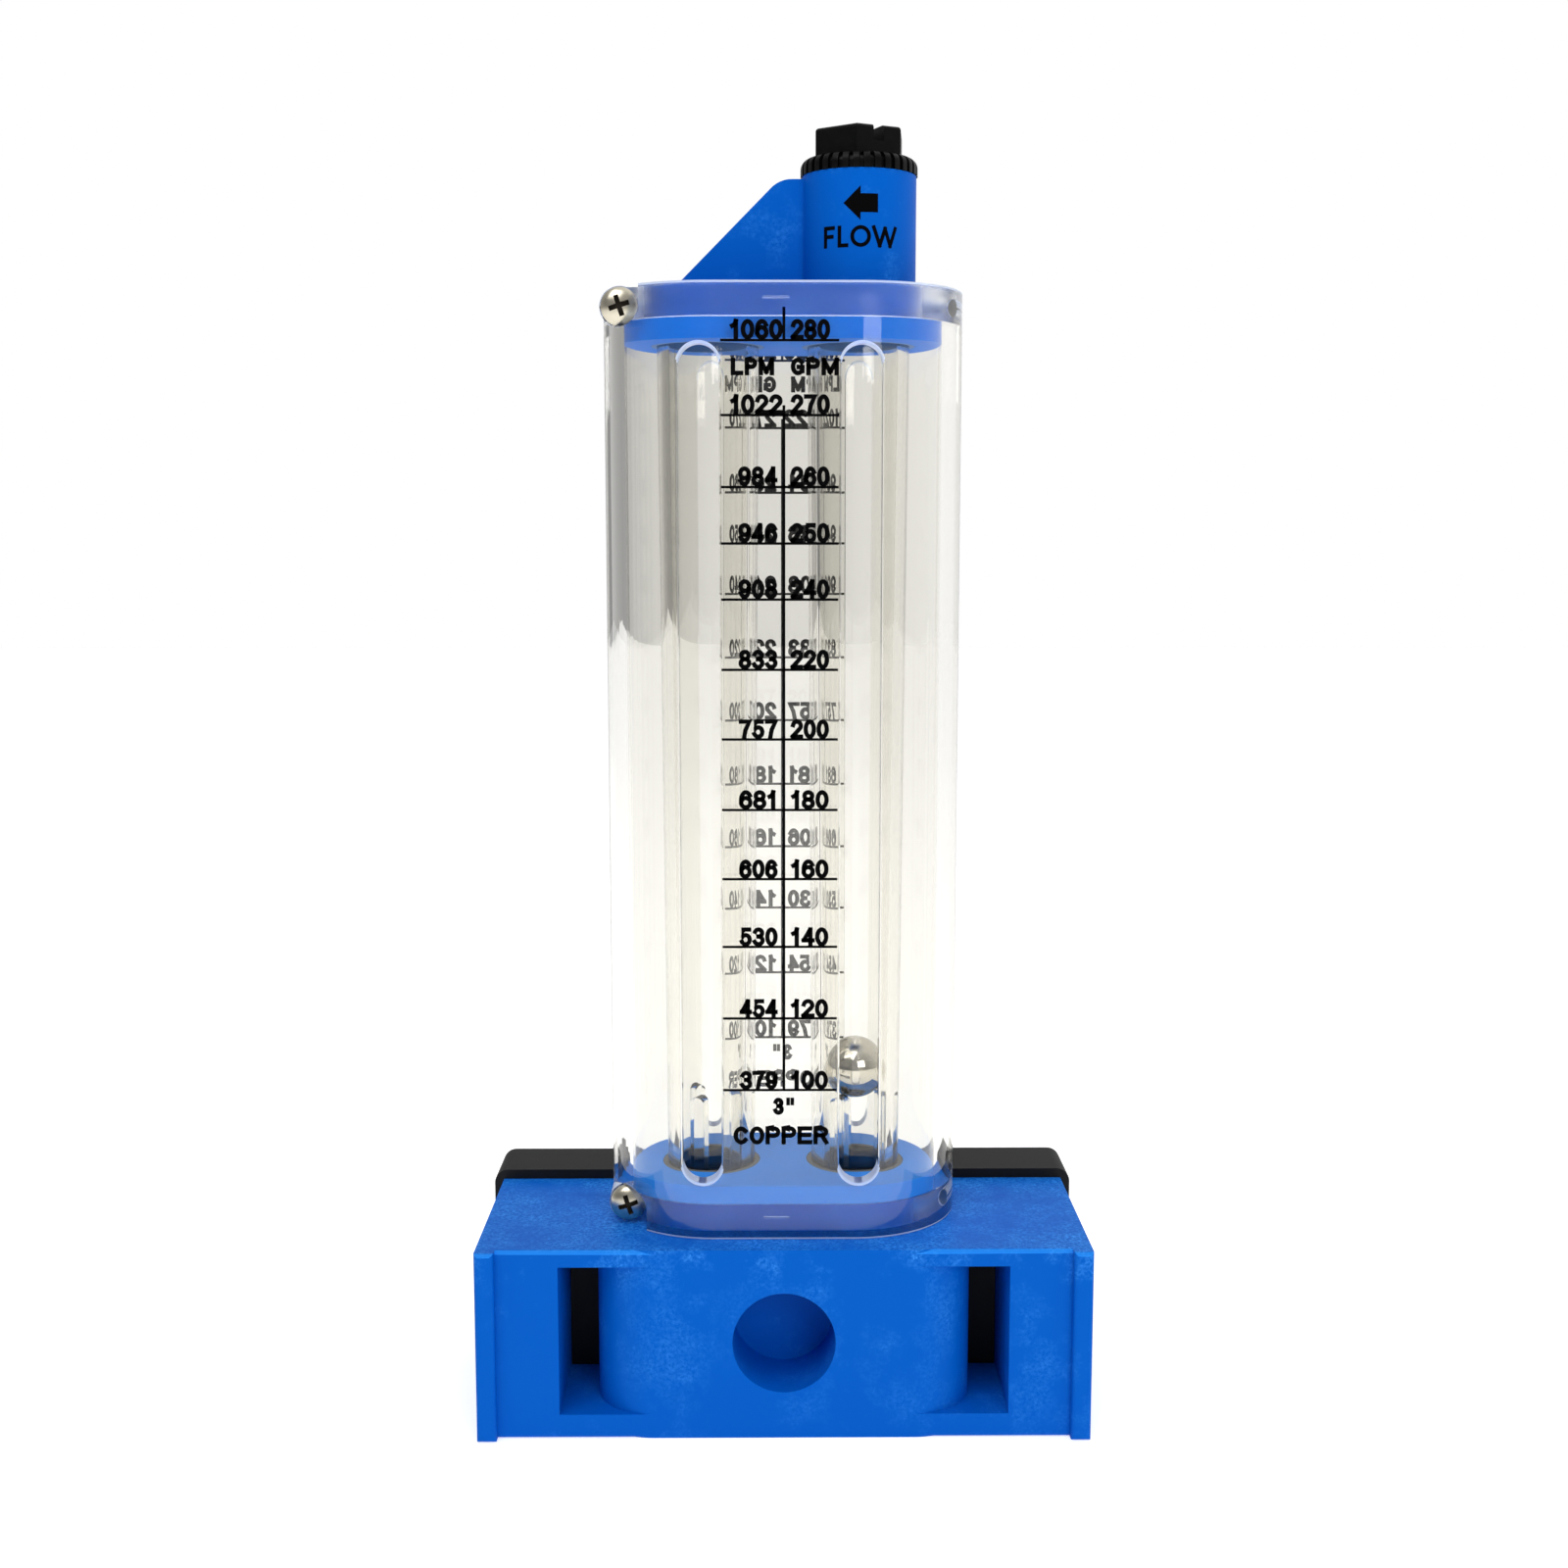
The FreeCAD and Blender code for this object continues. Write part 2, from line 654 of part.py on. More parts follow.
def scale_marks():
    """Marks, their numbers and the line that joins them."""
    plates = []
    middle = mark_gap + centre_line / 2
    for gallons, level in mark_levels().items():
        litres = str(round(gallons * litres_per_gallon))
        plates.append(mark(mark_left, -middle, level))
        plates.append(mark(middle, mark_right, level))
        plates += number(litres, (1 - len(litres)) * digit_pitch - digit_width - 2 * mark_gap, level)
        plates += number(str(gallons), 2 * mark_gap + centre_line, level)
    levels = sorted(mark_levels().values())
    plates.append(box(-centre_line / 2, centre_line / 2, -ink, 0, levels[0], levels[-2]))
    return plates


def scale_words():
    """Units at the top, the pipe's size and metal at the bottom."""
    levels = sorted(mark_levels().values())
    unit_row = levels[-1] - unit_drop
    size_row = levels[0] - size_drop
    unit_width = 2 * letter_pitch + letter_width
    metal_start = -3 * metal_pitch
    plates = []
    for unit, start in (("LPM", -unit_gap - unit_width), ("GPM", unit_gap)):
        plates += written(unit, start, unit_row, letter_width, word_height, letter_pitch, digit_stroke)
    plates += written("3", -digit_width, size_row, digit_width, word_height, digit_pitch, digit_stroke)
    plates += written("''", mark_gap, size_row + word_height / 2, digit_stroke, word_height / 2,
                      2 * digit_stroke, digit_stroke)
    plates += written("COPPER", metal_start, levels[0] - metal_drop, metal_letter, word_height,
                      metal_pitch, metal_stroke)
    return plates


def front_scale_print():
    plates = scale_marks() + scale_words()
    for plate in plates:
        plate.translate(FreeCAD.Vector(0, -shell_radius, 0))
    return Part.makeCompound(plates)


def flow_mark():
    """Arrow and word on the front of the tower, following its curve."""
    arrow_z = shell_top + arrow_rise
    tip, back = tube_x - arrow_length / 2, tube_x + arrow_length / 2
    neck = tip + arrow_height / 2
    outline = [(tip, 0), (neck, -arrow_height / 2), (neck, -arrow_shaft / 2), (back, -arrow_shaft / 2),
               (back, arrow_shaft / 2), (neck, arrow_shaft / 2), (neck, arrow_height / 2)]
    points = [FreeCAD.Vector(x, 0, arrow_z + z) for x, z in outline]
    arrow = Part.Face(Part.makePolygon(points + [points[0]])).extrude(FreeCAD.Vector(0, -tower_diameter, 0))
    skin = ring(tower_diameter / 2 + ink, tower_diameter / 2, tube_x, shell_top, tower_top)
    start = tube_x - 1.5 * flow_pitch - flow_width / 2
    letters = written("FLOW", start, shell_top + flow_rise, flow_width, flow_height, flow_pitch,
                      flow_stroke, tower_diameter)
    pieces = [piece.common(skin) for piece in [arrow] + letters]
    return Part.makeCompound([solid for piece in pieces for solid in piece.Solids])


# ---- the assembly -----------------------------------------------------------
def main():
    os.makedirs("parts", exist_ok=True)
    half = front_shell_half()
    scale = front_scale_print()
    save(base_block(), "base_block")
    save(saddle_gasket(), "saddle_gasket")
    save(pitot_probe(), "pitot_probe")
    save(probe_seal(), "probe_seal")
    save(half, "front_shell_half")
    save(halfway_round(half), "rear_shell_half")
    for place, level in zip(("bottom", "top"), screw_levels):
        screw = shell_screw(level)
        save(screw, "front_" + place + "_screw")
        save(halfway_round(screw), "rear_" + place + "_screw")
    for name, x, first_rib in (("metering", tube_x, metering_rib_turn), ("return", -tube_x, return_rib_turn)):
        save(clear_tube(x, first_rib), name + "_tube")
        save(lower_seal(x), name + "_tube_lower_seal")
        save(upper_seal(x), name + "_tube_upper_seal")
    save(Part.makeSphere(ball_diameter / 2, FreeCAD.Vector(tube_x, 0, ball_rest)), "float_ball")
    save(top_cap(), "top_cap")
    save(access_plug(), "access_plug")
    save(access_plug_seal(), "access_plug_seal")
    save(scale, "front_scale_print")
    save(halfway_round(scale), "rear_scale_print")
    save(flow_mark(), "flow_mark")


main()
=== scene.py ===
"""Looks of a side-mounted pitot flow meter for a 3 inch copper pipe, dressed for Blender 4.5.

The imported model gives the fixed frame, in metres: X to the right, Y towards the pipe, Z up,
with the origin on the underside of the base, in the plane of the two clear tubes. Pieces are
drawn in millimetres in that frame, and each is turned to metres when it is finished.
"""
import json
import math

import bmesh
import bpy
from mathutils import Matrix, Vector


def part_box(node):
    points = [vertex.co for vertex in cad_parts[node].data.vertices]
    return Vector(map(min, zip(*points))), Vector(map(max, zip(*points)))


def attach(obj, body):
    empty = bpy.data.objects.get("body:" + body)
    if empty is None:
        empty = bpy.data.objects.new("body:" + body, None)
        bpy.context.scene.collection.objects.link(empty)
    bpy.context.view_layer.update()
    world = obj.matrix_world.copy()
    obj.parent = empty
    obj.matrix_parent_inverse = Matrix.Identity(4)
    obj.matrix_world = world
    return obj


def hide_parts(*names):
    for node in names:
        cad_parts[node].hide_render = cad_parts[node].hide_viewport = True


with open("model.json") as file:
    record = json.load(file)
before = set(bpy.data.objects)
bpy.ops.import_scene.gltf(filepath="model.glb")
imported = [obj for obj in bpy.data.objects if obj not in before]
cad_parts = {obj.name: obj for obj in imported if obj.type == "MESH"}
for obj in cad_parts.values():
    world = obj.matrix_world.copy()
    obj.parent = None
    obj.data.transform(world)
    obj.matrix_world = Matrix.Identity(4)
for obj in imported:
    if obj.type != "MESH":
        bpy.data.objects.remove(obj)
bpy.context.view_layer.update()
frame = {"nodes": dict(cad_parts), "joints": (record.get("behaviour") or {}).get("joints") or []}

MM = 0.001
ROUND = 128                 # segments of a large round
FINE = 48                   # segments of a small round
SMOOTH_ANGLE = math.radians(32)


def corners_mm(node):
    """Lowest and highest corner of a construction node, in millimetres."""
    low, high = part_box(node)
    return low / MM, high / MM


# ---- sizes taken from the frame, in millimetres ---------------------------------------
shell_low, shell_high = corners_mm("front_shell_half")
tube_low, tube_high = corners_mm("metering_tube")
ball_low, ball_high = corners_mm("float_ball")
screw_low, screw_high = corners_mm("front_bottom_screw")
top_screw_low, top_screw_high = corners_mm("front_top_screw")

shell_radius = -shell_low.y
shell_bottom = shell_low.z
shell_top = shell_high.z
base_top = corners_mm("base_block")[1].z
end_x = shell_high.x - shell_radius
tube_x = (tube_high.x + tube_low.x) / 2
ball_radius = (ball_high.z - ball_low.z) / 2
ball_rest = (ball_high.z + ball_low.z) / 2
screw_head_radius = (screw_high.z - screw_low.z) / 2
screw_x = -(screw_high.x + screw_low.x) / 2
screw_levels = ((screw_high.z + screw_low.z) / 2, (top_screw_high.z + top_screw_low.z) / 2)

# ---- sizes that the frame's boxes don't hold, in millimetres --------------------------
shell_wall = 4.05
lip_height = 6.55
lip_radius = 14.1
rim_round = 0.5             # outer edges of the clear body
ledge_round = 0.45
slot_width = 8.0
slot_from_end = 11.9
slot_spacing = 31.9
slot_shift = 0.7
slot_round = 0.5
screw_seat = 10.8           # tube plane to the seat of a screw head
screw_pocket = 4.1          # radius of the room for a screw head
screw_reach = 8.0           # tube plane to a screw's tip
screw_radius = 1.8
shank_room = 0.2            # round a screw in the half that it passes through
thread_room = 0.05          # round a screw in the half that it holds
screw_pitch = 1.4
thread_depth = 0.35
crown_share = 0.72          # share of a screw head's height that is domed
seat_edge = 0.15            # chamfer of a screw head at its seat
recess_span = 4.2
recess_width = 1.0
recess_depth = 1.9
recess_turn = -18.0
gate_length = 5.2           # moulding gate marks on the lips
gate_height = 0.44
gate_rise = 0.15
gate_round = 0.1
gate_shift = 1.5            # to the left of the middle
gate_from_bottom = 4.8
gate_from_top = 3.3
tube_foot = 9.3             # outside radii
tube_head = 10.45
bore_foot = 6.65
bore_head = 8.1
tube_edge = 0.3
rib_top = 19.8
rib_width = 2.6
rib_radius = 4.2            # tube axis to the inner face of a rib
rib_turns = {"metering_tube": 235.0, "return_tube": 247.0}
tower_radius = 11.6
ink = 0.04                  # thickness of the print
bold = 0.9                  # stroke of the numbers and words
inch_stroke = 0.75
flow_stroke = 0.75
digit_height = 3.9
digit_rise = 0.1            # mark line to the foot of its digits
mark_left = -12.3
mark_right = 10.7
mark_line = 0.5
centre_line = 0.56
litres_per_gallon = 3.7854
beyond = 1.0                # how far a cutter stands out past what it cuts
near = 0.05                 # how close a point lies to a surface that it belongs to


# ---- mesh helpers ----------------------------------------------------------------------
def arc(centre, radius, start, end, count=5):
    """Points of an arc in a profile, angles in degrees."""
    angles = [math.radians(start + (end - start) * step / count) for step in range(count + 1)]
    return [(centre[0] + radius * math.cos(a), centre[1] + radius * math.sin(a)) for a in angles]


def stack(levels, half_length=0.0, segments=ROUND):
    """Closed solid of rings, each (radius, height), about Z, its round ends pulled apart along X."""
    bm = bmesh.new()
    half_step = Matrix.Rotation(math.pi / segments, 3, "Z")
    rings = []
    for radius, height in levels:
        ring = bmesh.ops.create_circle(bm, segments=segments, radius=radius)["verts"]
        bmesh.ops.rotate(bm, verts=ring, cent=(0, 0, 0), matrix=half_step)
        for side in (-1, 1):
            end = [vert for vert in ring if vert.co.x * side > 0]
            bmesh.ops.translate(bm, verts=end, vec=(side * half_length, 0, height))
        rings.append(list({edge for vert in ring for edge in vert.link_edges}))
    for low, high in zip(rings, rings[1:]):
        bmesh.ops.bridge_loops(bm, edges=low + high)
    for end in (rings[0], rings[-1]):
        bmesh.ops.contextual_create(bm, geom=end)
    bmesh.ops.recalc_face_normals(bm, faces=bm.faces)
    return bm


def lathe(profile, segments=FINE):
    """Solid of revolution about Z from (radius, height) points; a ring if the profile is closed."""
    bm = bmesh.new()
    verts = [bm.verts.new((radius, 0, height)) for radius, height in profile]
    edges = [bm.edges.new(pair) for pair in zip(verts, verts[1:])]
    bmesh.ops.spin(bm, geom=verts + edges, cent=(0, 0, 0), axis=(0, 0, 1),
                   angle=2 * math.pi, steps=segments, use_merge=True)
    bmesh.ops.remove_doubles(bm, verts=bm.verts, dist=1e-4)
    bmesh.ops.recalc_face_normals(bm, faces=bm.faces)
    return bm


def block(low, high, bevel=0.0, segments=3):
    """Box between two corners, its edges rounded by bevel."""
    bm = bmesh.new()
    bmesh.ops.create_cube(bm, size=1)
    size = [high[axis] - low[axis] for axis in range(3)]
    middle = [(high[axis] + low[axis]) / 2 for axis in range(3)]
    bmesh.ops.scale(bm, verts=bm.verts, vec=size)
    bmesh.ops.translate(bm, verts=bm.verts, vec=middle)
    if bevel:
        bmesh.ops.bevel(bm, geom=bm.edges[:], offset=bevel, segments=segments, affect="EDGES",
                        profile=0.5, material=-1)
    return bm


def moved(bm, *steps):
    """The same mesh after each matrix in turn."""
    for step in steps:
        bmesh.ops.transform(bm, matrix=step, verts=bm.verts)
    return bm


def shift(x, y, z):
    return Matrix.Translation((x, y, z))


def turn(degrees, axis):
    return Matrix.Rotation(math.radians(degrees), 4, axis)


def as_object(bm, name):
    mesh = bpy.data.meshes.new(name)
    bm.to_mesh(mesh)
    bm.free()
    thing = bpy.data.objects.new(name, mesh)
    bpy.context.scene.collection.objects.link(thing)
    return thing


def settle(thing):
    """Makes the modifiers' result the object's own mesh."""
    depsgraph = bpy.context.evaluated_depsgraph_get()
    mesh = bpy.data.meshes.new_from_object(thing.evaluated_get(depsgraph))
    thing.modifiers.clear()
    thing.data = mesh
    return thing


def combined(thing, others, operation):
    """thing with each of the other solids cut away from it or joined to it."""
    tools = [as_object(bm, "tool") for bm in others]
    for tool in tools:
        step = thing.modifiers.new("step", "BOOLEAN")
        step.operation = operation
        step.solver = "EXACT"
        step.object = tool
    settle(thing)
    for tool in tools:
        bpy.data.objects.remove(tool)
    return thing


def joined(meshes):
    """One mesh of several that don't meet."""
    whole = bmesh.new()
    for bm in meshes:
        part = bpy.data.meshes.new("part")
        bm.to_mesh(part)
        bm.free()
        whole.from_mesh(part)
        bpy.data.meshes.remove(part)
    return whole


def finished(thing, name, materials, body, slot, *nodes, scale=MM):
    """Names a piece, shades it, turns it to metres and ties it to the frame."""
    looks = [face.material_index for face in thing.data.polygons]
    bm = bmesh.new()
    bm.from_mesh(thing.data)
    bmesh.ops.scale(bm, verts=bm.verts, vec=(scale, scale, scale))
    for face in bm.faces:
        face.smooth = True
    for edge in bm.edges:
        edge.smooth = edge.calc_face_angle(math.pi) < SMOOTH_ANGLE
    bm.to_mesh(thing.data)
    bm.free()
    thing.name = name
    thing.data.name = name
    thing.data.materials.clear()
    for material in materials if isinstance(materials, tuple) else (materials,):
        thing.data.materials.append(material)
    thing.data.polygons.foreach_set("material_index", looks)
    weigh = thing.modifiers.new("even_normals", "WEIGHTED_NORMAL")
    weigh.keep_sharp = True
    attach(thing, body)
    if nodes:
        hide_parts(*nodes)
    return thing


def softened(node, width, name, materials, body, slot, segments=3):
    """A construction node's own form, its sharp edges rounded and given the second material, if any."""
    thing = bpy.data.objects.new(name, frame["nodes"][node].data.copy())
    while len(thing.data.materials) < 2:
        thing.data.materials.append(None)
    bpy.context.scene.collection.objects.link(thing)
    bm = bmesh.new()
    bm.from_mesh(thing.data)
    bmesh.ops.remove_doubles(bm, verts=bm.verts, dist=2e-6)
    bmesh.ops.dissolve_limit(bm, angle_limit=math.radians(0.5), use_dissolve_boundaries=False,
                             verts=bm.verts, edges=bm.edges)
    bm.to_mesh(thing.data)
    bm.free()
    bevel = thing.modifiers.new("soft_edges", "BEVEL")
    bevel.width = width * MM
    bevel.segments = segments
    bevel.limit_method = "ANGLE"
    bevel.angle_limit = math.radians(35)
    bevel.use_clamp_overlap = True
    bevel.miter_outer = "MITER_ARC"
    # with a tuple of materials the second goes on the rounded edges; for the blues it is lighter, partly
    # wear and partly painted highlight
    bevel.material = 1 if isinstance(materials, tuple) else -1
    settle(thing)
    return finished(thing, name, materials, body, slot, node, scale=1.0)


# ---- materials -------------------------------------------------------------------------
def linear(code):
    """An sRGB hex colour as linear RGBA."""
    parts = [int(code[at:at + 2], 16) / 255 for at in (0, 2, 4)]
    return [part / 12.92 if part <= 0.04045 else ((part + 0.055) / 1.055) ** 2.4 for part in parts] + [1.0]


def add(tree, kind, values=None, links=None, **settings):
    """Adds a node; values are its sockets' constants, links their sources, settings its properties."""
    node = tree.nodes.new(kind)
    for name, value in settings.items():
        setattr(node, name, value)
    for name, value in (values or {}).items():
        node.inputs[name].default_value = value
    for name, source in (links or {}).items():
        tree.links.new(source, node.inputs[name])
    return node


def ranged(tree, value, low, high, to_low=0.0, to_high=1.0, shape="LINEAR"):
    """A value mapped from low..high to to_low..to_high, and held past both ends."""
    limits = {"From Min": low, "From Max": high, "To Min": to_low, "To Max": to_high}
    node = add(tree, "ShaderNodeMapRange", limits, {"Value": value}, interpolation_type=shape)
    return node.outputs["Result"]


def times(tree, value, *factors):
    """The product of a value and its factors."""
    for factor in factors:
        node = add(tree, "ShaderNodeMath", links={0: value, 1: factor}, operation="MULTIPLY")
        value = node.outputs["Value"]
    return value


def noise(tree, place, scale, detail, roughness=0.5):
    """Cloudy noise with about scale patches to the metre."""
    values = {"Scale": scale, "Detail": detail, "Roughness": roughness}
    return add(tree, "ShaderNodeTexNoise", values, {"Vector": place}).outputs["Fac"]


def part_of(tree, vector, axis):
    """One coordinate of a vector."""
    return add(tree, "ShaderNodeSeparateXYZ", links={"Vector": vector}).outputs[axis]


def surface(name, values):
    """A new material with one Principled shader; returns it with its tree and shader."""
    material = bpy.data.materials.new(name)
    material.use_nodes = True
    tree = material.node_tree
    tree.nodes.clear()
    shader = add(tree, "ShaderNodeBsdfPrincipled", values)
    add(tree, "ShaderNodeOutputMaterial", links={"Surface": shader.outputs["BSDF"]})
    return material, tree, shader


def even(name, code, roughness, **values):
    """A material of one even colour and finish."""
    constants = {socket.replace("_", " "): value for socket, value in values.items()}
    return surface(name, {"Base Color": linear(code), "Roughness": roughness, **constants})[0]


def grained(tree, shader, pattern, strength):
    """Raises the surface by a pattern, by a tenth of a millimetre at full strength."""
    bump = add(tree, "ShaderNodeBump", {"Strength": strength, "Distance": 0.1 * MM}, {"Height": pattern})
    tree.links.new(bump.outputs["Normal"], shader.inputs["Normal"])


def moulded_blue(name, code, wear, painted_light_code, open_level, housed_level):
    """Injection-moulded ABS: deep blue, satin, rubbed pale by handling, and painted lighter inside the clear
    body as painted light.
    """
    material, tree, shader = surface(name, {"IOR": 1.53, "Specular IOR Level": 0.04})
    place = add(tree, "ShaderNodeTexCoord").outputs["Object"]
    height = part_of(tree, place, "Z")
    facing = part_of(tree, add(tree, "ShaderNodeNewGeometry").outputs["Normal"], "Z")
    cloud = noise(tree, place, 55.0, 7.0, 0.7)
    speck = noise(tree, place, 1500.0, 4.0, 0.7)
    grit = ranged(tree, speck, 0.40, 0.66)
    housed = ranged(tree, height, open_level * MM, housed_level * MM)
    exposed = add(tree, "ShaderNodeMath", {0: 1.0}, {1: housed}, operation="SUBTRACT").outputs["Value"]

    # rubs, most of them near the base's upper edge
    patch = ranged(tree, cloud, 0.50, 0.74, to_high=wear)
    rim = ranged(tree, height, (shell_bottom - 9) * MM, (shell_bottom - 1) * MM, 0.6, 1.6)
    rub = times(tree, patch, grit, rim)

    # dust on faces that look up, from the top of the base
    upward = ranged(tree, facing, 0.5, 1.0, to_high=0.85)
    above = ranged(tree, height, (shell_bottom - 2) * MM, (shell_bottom - 1) * MM)
    blotch = ranged(tree, cloud, 0.36, 0.62)
    dust = times(tree, upward, above, blotch, grit, exposed)

    pale = add(tree, "ShaderNodeMath", links={0: rub, 1: dust}, operation="MAXIMUM").outputs["Value"]
    # painted light: the blue turns to a lighter colour inside the clear body
    deep = add(tree, "ShaderNodeMix", {6: linear(code), 7: linear(painted_light_code)}, {"Factor": housed},
               data_type="RGBA").outputs[2]
    colour = add(tree, "ShaderNodeMix", {7: linear("3F9AF4")}, {"Factor": pale, 6: deep},
                 data_type="RGBA").outputs[2]
    tree.links.new(colour, shader.inputs["Base Color"])
    tree.links.new(ranged(tree, cloud, 0.0, 1.0, 0.36, 0.6), shader.inputs["Roughness"])
    grained(tree, shader, speck, 0.08)
    return material


def clear_plastic(name):
    """Moulded clear acrylic: bright, faintly warm, with polished faces."""
    return even(name, "F6F5F1", 0.01, IOR=1.49, Transmission_Weight=1.0)


def dull_plastic(name, clearness, roughness, painted_glow_code, painted_glow):
    """The same acrylic gone dull and whitish, with painted light: its emission makes these faces glow."""
    return even(name, "E0EBFA", roughness, IOR=1.49, Transmission_Weight=clearness,
                Emission_Color=linear(painted_glow_code), Emission_Strength=painted_glow)


def moulded_rubber(name, code, roughness):
    """Moulded rubber: matt, with a fine grain that scatters light."""
    values = {"Base Color": linear(code), "Roughness": roughness, "IOR": 1.52, "Specular IOR Level": 0.35}
    material, tree, shader = surface(name, values)
    place = add(tree, "ShaderNodeTexCoord").outputs["Object"]
    grained(tree, shader, noise(tree, place, 1600.0, 2.0), 0.2)
    return material


def moulded_nylon(name):
    """Glass-filled black nylon: satin black with a slightly mottled gloss."""
    values = {"Base Color": linear("040404"), "IOR": 1.53, "Specular IOR Level": 0.12}
    material, tree, shader = surface(name, values)
    place = add(tree, "ShaderNodeTexCoord").outputs["Object"]
    mottle = noise(tree, place, 500.0, 3.0)
    tree.links.new(ranged(tree, mottle, 0.0, 1.0, 0.25, 0.55), shader.inputs["Roughness"])
    return material


def polished_steel(name):
    """Ground and polished bearing steel."""
    return even(name, "D9D5CB", 0.07, Metallic=1.0)


def screw_steel(name):
    """Stainless screw steel, pressed and lightly tarnished."""
    return even(name, "D2CBB8", 0.3, Metallic=1.0)


def grime(name):
    """Painted shade in a screw's recess, with muck packed in: dark and matt."""
    return even(name, "38332C", 0.9, Specular_IOR_Level=0.1)


def shaded_blue(name):
    """The blue moulding deep in its sockets, darkened as painted shade."""
    return even(name, "0A1A38", 0.6, Specular_IOR_Level=0.1)


def printing_ink(name):
    """Black pad-printing ink: a thin, dull, opaque film."""
    return even(name, "030304", 0.8, Specular_IOR_Level=0.05)


# ---- clear body ------------------------------------------------------------------------
def shell_outside():
    """Outer form of the clear body, its two ends rounded off."""
    inner = shell_radius - rim_round
    low = arc((inner, shell_bottom + rim_round), rim_round, -90, 0)
    high = arc((inner, shell_top - rim_round), rim_round, 0, 90)
    return stack(low + high, end_x)


def shell_inside():
    """Room inside the clear body, with the lips that hook over the plugs."""
    wide = shell_radius - shell_wall
    ledges = (shell_bottom + lip_height, shell_top - lip_height)
    low = arc((lip_radius + ledge_round, ledges[0] - ledge_round), ledge_round, 180, 90)
    high = arc((lip_radius + ledge_round, ledges[1] + ledge_round), ledge_round, 270, 180)
    profile = [(lip_radius, shell_bottom - beyond)] + low
    profile += [(wide, ledges[0]), (wide, ledges[1])] + high + [(lip_radius, shell_top + beyond)]
    return stack(profile, end_x)


def slot_tool(x):
    """Cutter for one slot."""
    levels = [(slot_width / 2, shell_radius / 2), (slot_width / 2, shell_radius + beyond)]
    return moved(stack(levels, slot_reach(), FINE), turn(90, "Y"), turn(90, "Z"), turn(180, "Z"),
                 shift(x, 0, shell_middle()))


def slot_reach():
    """Middle of a slot to the centre of its round end."""
    return (shell_top - shell_bottom) / 2 - slot_from_end - slot_width / 2


def shell_middle():
    """Level of the middle of the clear body."""
    return (shell_top + shell_bottom) / 2


def on_slot_mouth(point):
    """Whether a point lies where a slot meets the body's outside."""
    outside = math.hypot(max(abs(point.x) - end_x, 0), point.y) > shell_radius - near
    rise = max(abs(point.z - shell_middle()) - slot_reach(), 0)
    offsets = [math.hypot(point.x + slot_shift - side * slot_spacing / 2, rise) for side in (-1, 1)]
    return outside and min(abs(offset - slot_width / 2) for offset in offsets) < near


def worn(thing):
    """Rounds the mouths of the slots and marks the faces that have gone dull and carry painted light.

    1 is the round edge of a ledge (a painted highlight line), 2 a flat end or the inner wall of a lip (a
    faint painted blue glow), 3 any other tilted face (a painted highlight).
    """
    bm = bmesh.new()
    bm.from_mesh(thing.data)
    mouths = [edge for edge in bm.edges
              if all(on_slot_mouth(vert.co) for vert in edge.verts)
              and on_slot_mouth((edge.verts[0].co + edge.verts[1].co) / 2)]
    bmesh.ops.bevel(bm, geom=mouths, offset=slot_round, segments=3, affect="EDGES", profile=0.5, material=-1)
    upright = 0.05
    level = 0.98
    for face in bm.faces:
        x, y, z = face.calc_center_median()
        outwards = math.hypot(max(abs(x) - end_x, 0), y)
        in_lip = min(z - shell_bottom, shell_top - z) < lip_height
        tilt = abs(face.normal.z)
        if upright < tilt < level:
            face.material_index = 1 if in_lip and outwards < lip_radius + ledge_round else 3
        elif tilt >= level or in_lip and outwards < lip_radius + near / 2:
            face.material_index = 2
    bm.to_mesh(thing.data)
    bm.free()
    return thing


def cylinder_y(radius, x, z, y0, y1, segments=FINE):
    """Round bar along Y."""
    bar = stack([(radius, y0), (radius, y1)], 0.0, segments)
    return moved(bar, turn(-90, "X"), shift(x, 0, z))


def head_room(level):
    """Pocket for a screw head, open to the body's end and side."""
    end = shell_bottom - beyond if level < shell_middle() else shell_top + beyond
    z0, z1 = sorted((level, end))
    front = -shell_radius - beyond
    slab = block((-screw_x - screw_pocket, front, z0), (-screw_x + screw_pocket, -screw_seat, z1))
    return [cylinder_y(screw_pocket, -screw_x, level, front, -screw_seat), slab]


def screw_boss(level):
    """Boss for a screw, filling the body's end from the seat to the other half."""
    boss = as_object(cylinder_y(shell_high.x - screw_x, -screw_x, level, -screw_seat, beyond), "boss")
    combined(boss, [shell_inside()], "DIFFERENCE")
    bm = bmesh.new()
    bm.from_mesh(boss.data)
    bpy.data.objects.remove(boss)
    return bm


def gate_mark(level):
    """Trace of the moulding gate, standing out a little from a lip."""
    left = -gate_length / 2 - gate_shift
    low = (left, -shell_radius - gate_rise, level - gate_height / 2)
    high = (left + gate_length, -shell_radius + 0.2, level + gate_height / 2)
    return block(low, high, gate_round, 2)


